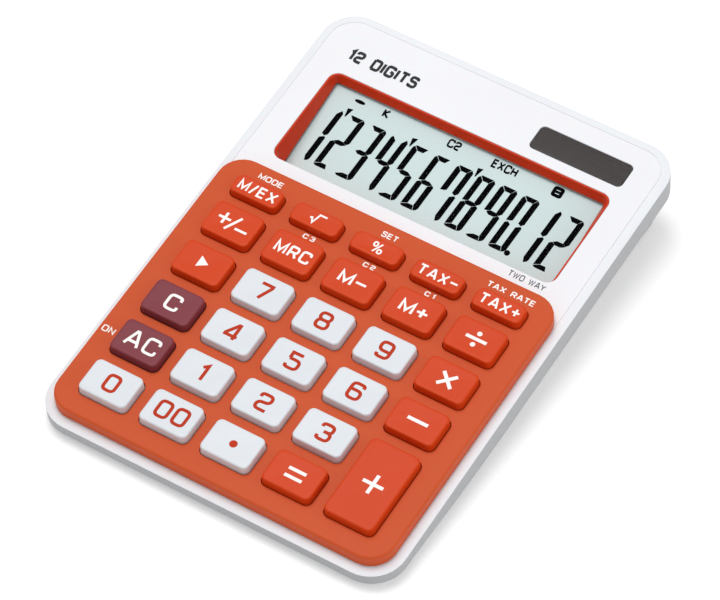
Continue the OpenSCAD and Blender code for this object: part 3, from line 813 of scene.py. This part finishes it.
class CALCULATOR_OT_panel(bpy.types.Operator):
    """Raised key panel: rounded upper edge, a rounded hole for each key, bosses, hooks"""

    bl_idname = "calculator.panel"
    bl_label = "Key panel"

    def execute(self, context):
        s = sizes()
        orange = finish("Orange panel", colour("panel_orange"), rough=0.46, spread=0.05,
                        tone=0.02, grain=0.32, bump=0.12, cloud=26,
                        Subsurface_Weight=0.05, Subsurface_Scale=0.0015,
                        Specular_IOR_Level=0.14)
        w, l, mid = CASE_W - 2 * RIM, PANEL_L, RIM + PANEL_L / 2
        r, wall, roof = PANEL_CORNER, 1.5, PANEL_TOP - 1.5
        edge, lead, gap = s.panel_edge * 1000, s.hole_edge * 1000, s.hole_gap * 1000
        half = (COLUMNS[1] - COLUMNS[0]) / 2
        xs = [c - half for c in COLUMNS] + [COLUMNS[-1] + half]
        rows_y = sorted({round(KEYS[n][1], 2) for n in KEYS if n != "key_plus"})
        ys = [rows_y[0] - half * 0.78]
        ys += [(a + b) / 2 for a, b in zip(rows_y[:-2], rows_y[1:-1])]
        front, rear = KEYS["key_divide"], KEYS["key_tax_plus"]
        ys += [(front[1] + front[3] / 2 + rear[1] - rear[3] / 2) / 2]
        ys += [rows_y[-1] + rear[3] / 2 + 0.9]
        xs[0], xs[-1] = xs[0] + 0.6, xs[-1] - 0.6
        grid_w, grid_l = xs[-1] - xs[0], ys[-1] - ys[0]
        grid_y = (ys[0] + ys[-1]) / 2
        stops = dict(xs=xs[1:-1], ys=ys[1:-1])

        def ring(inset, z):
            return at(outline(w - 2 * inset, l - 2 * inset, max(r - inset, 0.5), 0, mid, 7,
                              **stops), z)

        inner = outline(grid_w, grid_l, 0, 0, grid_y, 7, **stops)
        side = [ring(i, z) for i, z in fillet(0, PANEL_TOP, edge, 6)]
        rows = [at(inner, PANEL_TOP)] + side + [ring(0, 0.06), ring(0.06, 0), ring(wall, 0),
                ring(wall, roof), at(inner, roof)]
        parts = [skin(rows)]
        for name, (x, y, kw, kl, _, _) in KEYS.items():
            i = int(np.searchsorted(xs, x)) - 1
            j0 = int(np.searchsorted(ys, y - kl / 2)) - 1
            j1 = int(np.searchsorted(ys, y + kl / 2))
            mids = ys[j0 + 1:j1]
            cw, cl = xs[i + 1] - xs[i], ys[j1] - ys[j0]
            cx, cy = (xs[i] + xs[i + 1]) / 2, (ys[j0] + ys[j1]) / 2
            border = outline(cw, cl, 0, cx, cy, 7, ys=mids)

            def hole(extra, z):
                return at(outline(kw + 2 * (gap + extra), kl + 2 * (gap + extra),
                                  KEY_CORNER + gap + extra, x, y, 7, ys=mids), z)

            lip = [hole(lead * (1 - math.cos(a)), PANEL_TOP - lead * (1 - math.sin(a)))
                   for a in np.linspace(0, math.pi / 2, 4)]
            parts.append(skin([at(border, roof), hole(0, roof)] + lip + [at(border, PANEL_TOP)]))
        board_top = deck_box("main_board")[1][2]
        for x, y, _ in centres(to_deck(node_points("board_screws")), 3):
            parts.append(hollow_post(x, y, 1.4, 0.7, board_top, roof + 0.3))
        low = to_deck(node_points("key_panel"))
        low = low[low[:, 2] < -1.9]
        for x, y, _ in centres(low, 6):
            side_x = math.copysign(1, x)
            parts.append(tube(0.9, 4, 0.2, -2.4, roof + 0.3, 0.1, x - side_x * 0.45, y, 3))
            parts.append(tube(1.7, 3.9, 0.2, -2.5, -1.9, 0.1, x, y, 3))
        piece("panel_keys", parts, orange, nodes=["key_panel"])
        return {"FINISHED"}


def key_cap(name):
    """A key cap: a dished top, a rounded edge, sides that lean in by the draft above the
    panel, a flange, and a hollow with a stem."""
    s = sizes()
    x, y, w, l, bottom, top = KEYS[name]
    edge, dish, draft = s.key_edge * 1000, s.key_dish * 1000, s.key_draft * 1000
    arc, r = s.corner_steps, KEY_CORNER
    lean = edge + draft
    base = outline(w - 2 * lean, l - 2 * lean, r - lean, 0, 0, arc)
    rows = []
    for t in (0.0, 0.3, 0.55, 0.75, 0.9, 1.0):
        p = base * t
        rows.append(at(p + (x, y), dished(p, 0, 0, w, l, lean, top, dish)))
    profile = fillet(draft, top, edge, 5)[1:]
    profile += [(0, PANEL_TOP - 0.4)]
    profile += [(i, FLANGE_Z + z) for i, z in (
        (0, 0.75), (-0.1, 0.62), (-0.42, 0.6), (-FLANGE, 0.52), (-FLANGE, 0.08), (-0.42, 0),
        (1.1, 0), (1.2, 0.1))]
    profile += [(1.2, top - 1.7), (1.5, top - 1.4)]
    rows += stacked(w, l, r, profile, x, y, arc, 0.3)
    rows.append(centre_of(rows[-1]))
    stem = [(0, top - 1.3), (0, bottom + 0.2), (0.2, bottom)]
    return [skin(rows), capped(stacked(3.8, 3.8, 1.89, stem, x, y, 5))]


# Characters, height over all, stroke width and stretch of each key's legend
LEGENDS = {f"key_{n}": ([str(n)], 5.6, 0.92, 1.0) for n in range(10)}
LEGENDS.update({
    "key_00": (["0", "0"], 5.6, 0.92, 1.0), "key_point": (["dot"], 3, 1.5, 1.0),
    "key_equals": (["="], 3.2, 0.92, 1.0), "key_plus": (["+"], 8.3, 0.98, 1.0),
    "key_minus": (["-"], 8.3, 0.98, 1.0), "key_multiply": (["*"], 6.0, 0.98, 1.0),
    "key_divide": ([":"], 7.6, 0.95, 1.0), "key_ac": (["A", "C"], 5.3, 0.8, 0.96),
    "key_c": (["C"], 5.1, 0.8, 1.0), "key_shift": (["play"], 3.7, 0.1, 1.0),
    "key_sign": (["sign"], 5.2, 0.72, 1.0),
    "key_memory_recall": (["M", "R", "C"], 3.9, 0.68, 0.94),
    "key_memory_minus": (["M", "-"], 3.9, 0.68, 1.15),
    "key_memory_plus": (["M", "+"], 3.9, 0.68, 1.15),
    "key_exchange": (["M", "/", "E", "X"], 3.4, 0.6, 0.96),
    "key_root": (["root"], 3.6, 0.52, 1.05), "key_percent": (["%"], 3.5, 0.46, 1.0),
    "key_tax_minus": (["T", "A", "X", "-"], 3.3, 0.58, 0.93),
    "key_tax_plus": (["T", "A", "X", "+"], 3.3, 0.58, 0.93),
})


class CALCULATOR_OT_keys(bpy.types.Operator):
    """Key caps with their printed legends, each on its own body"""

    bl_idname = "calculator.keys"
    bl_label = "Keys and legends"

    def execute(self, context):
        s = sizes()
        plastics = {
            "key_white": finish("White key", colour("key_white"), rough=0.34, tone=0.012,
                                grain=0.26, bump=0.05, Subsurface_Weight=0.1,
                                Subsurface_Scale=0.0015, Specular_IOR_Level=0.3),
            "key_orange": finish("Orange key", colour("key_orange"), rough=0.36, tone=0.02,
                                 grain=0.26, bump=0.05, Subsurface_Weight=0.06,
                                 Subsurface_Scale=0.0012, Specular_IOR_Level=0.14),
            "key_plum": finish("Plum key", colour("key_plum"), rough=0.36, tone=0.03,
                               grain=0.26, bump=0.05, Specular_IOR_Level=0.14),
        }
        red = finish("Red print", colour("legend_red"), rough=0.5, tone=0.06, grain=0.15,
                     Specular_IOR_Level=0.1)
        white = finish("White print", colour("legend_white"), rough=0.5, tone=0.02, grain=0.15)
        relief = s.legend_relief * 1000
        for name, (x, y, w, l, _, top) in KEYS.items():
            slot = ("key_plum" if name in PLUM_KEYS else
                    "key_white" if name in WHITE_KEYS else "key_orange")
            body = f"{name}_body"
            if body not in frame["bodies"]:
                raise RuntimeError(f"no body for {name}")
            piece(f"cap_{name}", key_cap(name), plastics[slot], body, [name])
            words, height, weight, stretch = LEGENDS[name]
            to_right, inset = 0.25, 0.66
            parts = lettering(words, x + to_right, y, height, weight, -0.05, relief, stretch)
            for points, _ in parts:
                points[:, 2] += dished(points, x, y, w, l, inset, top, s.key_dish * 1000)
            piece(f"legend_{name}", parts, red if slot == "key_white" else white, body,
                  weld=False)
        return {"FINISHED"}


class CALCULATOR_OT_print(bpy.types.Operator):
    """Printed words on the key panel and on the white deck"""

    bl_idname = "calculator.print"
    bl_label = "Panel and deck print"

    def execute(self, context):
        s = sizes()
        relief = s.legend_relief * 1000
        white = finish("White print", colour("legend_white"), rough=0.5, tone=0.02, grain=0.15)
        dark = finish("Dark print", colour("print_dark"), rough=0.45, tone=0.08, grain=0.15,
                      Specular_IOR_Level=0.15)
        top = PANEL_TOP
        rear = KEYS["key_exchange"][1] + 5.9
        between = KEYS["key_memory_recall"][1] + 7.15
        c = COLUMNS
        thin, usual, wide = 0.33, 0.28, 0.68
        parts = []
        for words, x, y, height, stretch, gap in [
            ("MODE", c[0] + 0.4, rear, 1.8, 1.15, usual),
            ("SET", c[2] + 0.3, rear, 1.8, 1.05, usual),
            ("TAX RATE", c[4], rear, 1.8, 1.1, usual),
            ("C3", c[1] + 0.45, between, 1.5, 1.2, wide),
            ("C2", c[2] + 0.45, between, 1.5, 1.2, wide),
            ("C1", c[3] + 0.45, between, 1.5, 1.2, wide),
            ("ON", c[0] - 10.6, KEYS["key_ac"][1] + 0.3, 2.0, 1.05, usual),
        ]:
            parts += lettering(words, x, y, height, thin, top - 0.02, top + relief, stretch, gap)
        piece("print_panel", parts, white, weld=False)
        left = -WINDOW_W / 2 + 11.3
        parts = lettering("12 DIGITS", left, WINDOW_Y + WINDOW_L / 2 + 6.75, 4.1, 0.95,
                          -0.02, relief, 0.84, 0.2)
        parts += lettering("TWO WAY", 36.4, WINDOW_Y - WINDOW_L / 2 - 1.75, 1.9, 0.27,
                           -0.02, relief, 0.8, 0.22)
        piece("print_deck", parts, dark, weld=False)
        return {"FINISHED"}


# ---------------------------------------------------------------- display

# Which of the seven bars each digit shows: top, upper right, lower right, bottom,
# lower left, upper left, middle
BARS = {"0": "abcdef", "1": "bc", "2": "abged", "3": "abgcd", "4": "fgbc", "5": "afgcd",
        "6": "afgedc", "7": "fabc", "8": "abcdefg", "9": "abcfgd"}


def bars(digit, x, y, w, height, t, slant, z0, z1):
    """The lit bars of a digit w wide: flat strips, the upright ones t wide and the level
    ones less, mitred against each other and leaning by the slant:
    x' = x + (y - y0) tan(slant)."""
    g, u, top, h = 0.07, 0.84 * t, height, height / 2
    shapes = {
        "a": [(t + g, top - u), (w - t, top - u), (w - 0.85, top), (0.72, top),
              (0.52, top - 0.2)],
        "b": [(w - t, h + g + 0.5), (w - t + 0.95, h + g), (w, h + g + 0.8), (w, top - 0.75),
              (w - 0.68, top - 0.03), (w - t + 0.04, top - u - g)],
        "c": [(w - 1.03, 0), (w - 0.3, 0.42), (w, 1.05), (w, h - g - 0.35),
              (w - 0.55, h - g), (w - t, h - g - 0.75), (w - t, u + g)],
        "d": [(0.85, 0), (w - 1.03 - 2 * g, 0), (w - t - 1.4 * g, u), (t + 0.05, u - 0.05),
              (0.03, 0.52), (0.28, 0.2)],
        "e": [(0, 0.64 + g), (t, u + g), (t, h - g - 0.55), (0.7, h - g), (0, h - g - 0.55)],
        "f": [(0, h + g + 0.05), (1.05, h + g + 0.25), (t, h + g + 0.62), (t, top - u - g),
              (0.4, top - 0.25 - g), (0, top - 0.95)],
        "g": [(0.8, h), (t + 0.1, h - u / 2), (w - t - 0.1, h - u / 2), (w - 0.62, h - 0.05),
              (w - t - 0.1, h + u / 2 - 0.08), (t + 0.1, h + u / 2 - 0.05)],
    }
    parts = []
    for bar in BARS[digit]:
        p = np.array(shapes[bar], float)
        p[:, 0] += p[:, 1] * math.tan(slant) + x
        p[:, 1] += y
        parts.append(flat_shape(p, z0, z1))
    return parts


class CALCULATOR_OT_display(bpy.types.Operator):
    """Display: sloped frame, clear window, ground film and its switched segments"""

    bl_idname = "calculator.display"
    bl_label = "Display"

    def execute(self, context):
        s = sizes()
        orange = finish("Orange frame", colour("frame_orange"), rough=0.38, tone=0.02,
                        grain=0.3, bump=0.08, cloud=30, Specular_IOR_Level=0.16)
        arc = 9

        def level(inset, z, r):
            return at(outline(WINDOW_W - 2 * inset, WINDOW_L - 2 * inset, r, 0, WINDOW_Y,
                              arc), z)

        def sunk(extra, z, r, wide=0.42, rear=0.35, across=-0.22):
            flat = outline(LCD_W + 2 * (wide + extra), LCD_L + rear + 2 * extra, r, across,
                           (rear - LCD_L) / 2, arc)
            return on_glass(at(flat, z))

        def lip(inset, z, r):
            """The lip at the deck, which dips behind the deck's edge along the front."""
            row = level(inset, z, r)
            front = np.clip((WINDOW_Y - WINDOW_L / 2 + 3.2 - row[:, 1]) / 2.4, 0, 1)
            row[:, 2] -= 0.95 * front**2 * (3 - 2 * front)
            return row

        lip_in, lcd_in = lip(0.42, -0.1, 2.6), sunk(0, 0.05, 0.5)
        slope = [lcd_in + (lip(0.5, -0.16, 2.55) - lcd_in) * t for t in np.linspace(0, 1, 7)]
        rows = [sunk(0.4, 0.0, 0.7), sunk(0.1, 0.0, 0.55)] + slope
        rows += [lip_in, lip(0.12, -0.1, 2.9), lip(0.06, -0.16, 2.9),
                 level(0.1, -1.84, 2.9), level(-0.8, -1.85, 3.0), level(-0.8, -2.6, 3.0),
                 sunk(1.2, 0.0, 3.0, 0, 0, 0)]
        piece("frame_display", [skin(rows, across=True)], orange, nodes=["display_frame"])

        clear = finish("Clear window", srgb(24, 28, 28), rough=0.06, spread=0.02, tone=0.01,
                       bump=0.0, Alpha=0.02, IOR=1.49, Specular_IOR_Level=0.1)
        dress("display_window", clear)

        film = finish("Display ground", colour("lcd_film"), rough=0.42, spread=0.04, tone=0.015,
                      grain=0.2, bump=0.04, cloud=40, Specular_IOR_Level=0.2)
        low = -GLASS_LIFT - LENS_T - 0.2
        half = LCD_W / 2 + 1
        edges = [(0.02, low + 0.12), (0, low + 0.1), (0, low)]
        plate = capped(stacked(2 * half, LCD_L + 1.7, 0.3, edges, 0, -LCD_L / 2 - 0.05, 4))
        piece("film_display", [(on_glass(plate[0]), plate[1])], film,
              nodes=["front_polariser"])

        ink = finish("Display segments", colour("lcd_ink"), rough=0.35, tone=0.1, grain=0.2,
                     Specular_IOR_Level=0.0)
        z0, z1 = low + 0.1, low + 0.17
        height, pitch = s.digit_height * 1000, s.digit_pitch * 1000
        slant, weight = s.digit_slant, 1.66
        wide, foot, right_end = 5.05, -23.55, 38.75
        start = right_end - math.tan(slant) * height - wide
        parts = []
        number = "123456789012"
        places = [start - (len(number) - 1 - k) * pitch for k in range(len(number))]
        for x, digit in zip(places, number):
            parts += bars(digit, x, foot, wide, height, weight, slant, z0, z1)
        a = np.linspace(0, 2 * math.pi, 16, endpoint=False)
        ring = np.column_stack([np.cos(a), np.sin(a)])
        point_r, decimals = 0.82, 2
        point = (places[-1 - decimals] + wide + 0.72, foot + 0.42)
        parts.append(flat_shape(ring * point_r + point, z0, z1))
        for k in (0, 3, 6):
            x = places[k] + wide + 0.56 + math.tan(slant) * height
            y = foot + height - 1.23
            tick = [(x, y), (x + 0.25, y + 0.05), (x + 1.15, y + 2.9), (x - 0.39, y + 2.6)]
            parts.append(flat_shape(tick, z0, z1))
        line = -1.6
        lens = np.column_stack([np.cos(a) * 1.6 - 32.7, np.sin(a) * 0.55 + line - 0.1])
        parts.append(flat_shape(lens, z0, z1))
        for words, x, stretch in (("K", -24.5, 0.95), ("C2", -3.6, 0.85), ("EXCH", 11.8, 0.8)):
            parts += lettering(words, x, line, 2.7, 0.58, z0, z1, stretch, 0.2)
        box = rounded_path([(26.7, line - 1.1), (28.9, line - 1.1), (28.9, line + 1.1),
                            (26.7, line + 1.1)], True, 0.35, 3)
        parts.append(ribbon(box, True, 0.96, z0, z1))
        parts.append(ribbon(np.array([(26.8, line), (28.8, line)]), False, 0.76, z0, z1 + 0.004))
        parts = [(on_glass(p), f) for p, f in parts]
        piece("segments_display", parts, ink, weld=False)
        return {"FINISHED"}


class CALCULATOR_OT_solar(bpy.types.Operator):
    """Solar window with softened edges over the solar cell and its lines"""

    bl_idname = "calculator.solar"
    bl_label = "Solar panel"

    def execute(self, context):
        x, y, _ = SOLAR_MID
        w, l, _ = SOLAR_SIZE
        z0, z1 = SOLAR[0][2], SOLAR[1][2]
        smoked = finish("Smoked window", colour("solar"), rough=0.16, spread=0.04, tone=0.04,
                        grain=0.6, bump=0.02, cloud=14, Alpha=0.86, IOR=1.5)
        piece("window_solar", [tube(w, l - 0.4, 1.4, z0, z1, 0.1, x, y + 0.2)], smoked,
              nodes=["solar_window"])
        silicon = finish("Silicon", srgb(38, 30, 34), rough=0.25, tone=0.12, grain=0.8, bump=0.05)
        dress("solar_cell", striped(silicon, 7.0, srgb(16, 14, 15), 0.05))
        return {"FINISHED"}


# ---------------------------------------------------------------- inside


class CALCULATOR_OT_keypad(bpy.types.Operator):
    """Rubber sheet with a hollow dome and a contact pill under each key"""

    bl_idname = "calculator.keypad"
    bl_label = "Rubber keypad"

    def execute(self, context):
        rubber = finish("Keypad rubber", srgb(196, 198, 200), rough=0.62, tone=0.04, grain=0.5,
                        bump=0.2, Subsurface_Weight=0.2, Subsurface_Scale=0.002)
        carbon = finish("Carbon rubber", srgb(34, 34, 36), rough=0.55, tone=0.15, grain=0.3)
        lo, hi = deck_box("rubber_keypad")
        base, tip = deck_box("main_board")[1][2], hi[2]
        sheet = base + 0.6
        w, l = hi[0] - lo[0], hi[1] - lo[1]
        piece("keypad_sheet", [tube(w, l, 2, base, sheet, 0.1, 0, (lo[1] + hi[1]) / 2)],
              rubber, nodes=["rubber_keypad"])
        for name, (x, y, w, l, _, _) in KEYS.items():
            r = min(4.0, l / 2)
            reach = tip - sheet
            dome = lathed([
                (2.3, tip), (2.6, tip - 0.08), (r - 0.35, sheet + 0.25 * reach),
                (r - 0.05, sheet + 0.06), (r, sheet + 0.005), (r - 0.5, sheet + 0.005),
                (r - 0.8, sheet + 0.25 * reach), (2.1, tip - 0.6), (1.9, tip - 0.5),
            ], x, y)
            pill = tube(3, 3, 1.49, tip - 0.8, tip - 0.5, 0.05, x, y, 5)
            pills = ["contact_pills"] if name == KEY_NAMES[0] else []
            for kind, shape, material, slot, nodes in [
                ("dome", dome, rubber, "keypad_rubber", []),
                ("pill", pill, carbon, "carbon_rubber", pills),
            ]:
                obj = piece(f"{kind}_{name}", [shape], material, nodes=nodes,
                            flat=False)
                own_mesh(obj)
        return {"FINISHED"}


class CALCULATOR_OT_inside(bpy.types.Operator):
    """Finishes of the electronics and the display stack, which keep their shapes"""

    bl_idname = "calculator.inside"
    bl_label = "Electronics"

    def execute(self, context):
        board = finish("Board green", srgb(28, 92, 58), rough=0.38, tone=0.1, grain=0.6, bump=0.1,
                       cloud=9)
        finishes = {
            "main_board": striped(board, 2.54, srgb(64, 128, 84), 0.2),
            "chip_cover": finish("Epoxy black", srgb(24, 24, 26), rough=0.3, tone=0.1, bump=0.2),
            "storage_capacitor": finish("Capacitor sleeve", srgb(28, 44, 108), rough=0.3,
                                        tone=0.06),
            "chip_capacitors": finish("Ceramic", srgb(178, 150, 110), rough=0.5, tone=0.08),
            "chip_resistors": finish("Resistor black", srgb(32, 32, 36), rough=0.4, tone=0.1),
            "clamp_diode": finish("Red resin", srgb(196, 40, 24), rough=0.2, tone=0.05),
            "button_cell": finish("Cell steel", srgb(190, 190, 192), rough=0.26, tone=0.04,
                                  grain=0.2, Metallic=1.0),
            "cell_contact_plus": finish("Contact metal", srgb(214, 196, 150), rough=0.3,
                                        tone=0.05, grain=0.2, Metallic=1.0),
            "cell_contact_minus": finish("Contact metal", srgb(214, 196, 150)),
            "lcd_glass": finish("Display glass", srgb(204, 214, 212), rough=0.1, tone=0.02,
                                bump=0.01),
            "rear_reflector": finish("Foil", srgb(204, 206, 208), rough=0.3, tone=0.03,
                                     grain=0.15, Metallic=1.0),
            "lcd_holder": finish("Holder white", srgb(224, 224, 222), rough=0.5, tone=0.02),
            "solar_lead_red": finish("Red lead", srgb(190, 30, 24), rough=0.45, tone=0.05),
            "solar_lead_black": finish("Black lead", srgb(26, 26, 28), rough=0.45, tone=0.1),
        }
        ribbon_film = finish("Ribbon film", srgb(196, 162, 96), rough=0.35, tone=0.05)
        finishes["lcd_ribbon"] = striped(ribbon_film, 1.2, srgb(96, 96, 98), 0.35)
        for node, material in finishes.items():
            dress(node, material)
        return {"FINISHED"}


# ---------------------------------------------------------------- stage


class CALCULATOR_OT_stage(bpy.types.Operator):
    """Pale floor, soft studio light and the camera"""

    bl_idname = "calculator.stage"
    bl_label = "Stage, light and camera"

    def execute(self, context):
        scene = context.scene
        floor_mesh = bpy.data.meshes.new("floor")
        t = np.linspace(-2.0, 2.0, 3)
        gx, gy = np.meshgrid(t, t, indexing="ij")
        grid = np.stack([gx, gy, np.full_like(gx, -0.0002)], -1)
        points, faces = skin(list(grid), close=False)
        floor_mesh.from_pydata(points.tolist(), [], faces.tolist())
        floor = bpy.data.objects.new("floor", floor_mesh)
        scene.collection.objects.link(floor)
        floor_mesh.materials.append(
            finish("Pale floor", srgb(236, 236, 236), rough=0.8, tone=0.004, cloud=300,
                   grain=4, bump=0.0, Emission_Strength=0.3,
                   Emission_Color=(1, 1, 1, 1))
        )

        world = bpy.data.worlds.new("Studio")
        scene.world = world
        world.use_nodes = True
        sky = of_type(world.node_tree, "BACKGROUND")
        sky.inputs["Color"].default_value = (1, 1, 1, 1)
        sky.inputs["Strength"].default_value = 0.5
        for name, place, size, power in [
            ("Key light", (-0.25, 0.1, 1.2), 0.7, 8.6),
            ("Side light", (0.9, 0.1, 0.35), 0.5, 1.5),
        ]:
            light = bpy.data.lights.new(name, "AREA")
            light.energy = power
            light.size = size
            lamp = bpy.data.objects.new(name, light)
            scene.collection.objects.link(lamp)
            lamp.location = place
            lamp.rotation_euler = (-Vector(place)).to_track_quat("-Z", "Y").to_euler()

        view = scene.view_settings
        view.view_transform = "Standard"
        view.look = "None"
        look = Vector((-0.33535, 0.55726, -0.75961)).normalized()
        right = Vector((0.8503, 0.5262, 0.01064))
        right = (right - look * right.dot(look)).normalized()
        up = right.cross(look)
        place, focal_mm = (0.3612, -0.6017, 0.8263), 209.435
        lens = bpy.data.cameras.new("Camera")
        lens.lens = focal_mm
        lens.sensor_width = 36
        lens.clip_start, lens.clip_end = 0.05, 20
        camera = bpy.data.objects.new("Camera", lens)
        scene.collection.objects.link(camera)
        turn = Matrix((right, up, -look)).transposed().to_4x4()
        camera.matrix_world = Matrix.Translation(place) @ turn
        scene.camera = camera
        return {"FINISHED"}


STEPS = (
    CALCULATOR_OT_stage, CALCULATOR_OT_case, CALCULATOR_OT_back, CALCULATOR_OT_panel,
    CALCULATOR_OT_keys, CALCULATOR_OT_print, CALCULATOR_OT_display, CALCULATOR_OT_solar,
    CALCULATOR_OT_keypad, CALCULATOR_OT_inside,
)


class CALCULATOR_PT_panel(bpy.types.Panel):
    """Lists the sizes, the colours and the steps that build the calculator"""

    bl_idname = "CALCULATOR_PT_panel"
    bl_label = "Desk Calculator"
    bl_space_type = "VIEW_3D"
    bl_region_type = "UI"
    bl_category = "Calculator"

    def draw(self, context):
        layout = self.layout
        for group in (context.scene.calculator_sizes, context.scene.calculator_colours):
            column = layout.column()
            for name in group.__annotations__:
                column.prop(group, name)
        for step in STEPS:
            layout.operator(step.bl_idname)


CLASSES = (CalculatorSizes, CalculatorColours, *STEPS, CALCULATOR_PT_panel)


def register():
    """Adds the classes and the two property groups."""
    for c in CLASSES:
        bpy.utils.register_class(c)
    bpy.types.Scene.calculator_sizes = PointerProperty(type=CalculatorSizes)
    bpy.types.Scene.calculator_colours = PointerProperty(type=CalculatorColours)


def unregister():
    """Takes them away again."""
    del bpy.types.Scene.calculator_colours
    del bpy.types.Scene.calculator_sizes
    for c in reversed(CLASSES):
        bpy.utils.unregister_class(c)


def main():
    register()
    for step in STEPS:
        group, name = step.bl_idname.split(".")
        result = getattr(getattr(bpy.ops, group), name)()
        if result != {"FINISHED"}:
            raise RuntimeError(f"{step.bl_label} was not built")


if __name__ == "__main__":
    main()
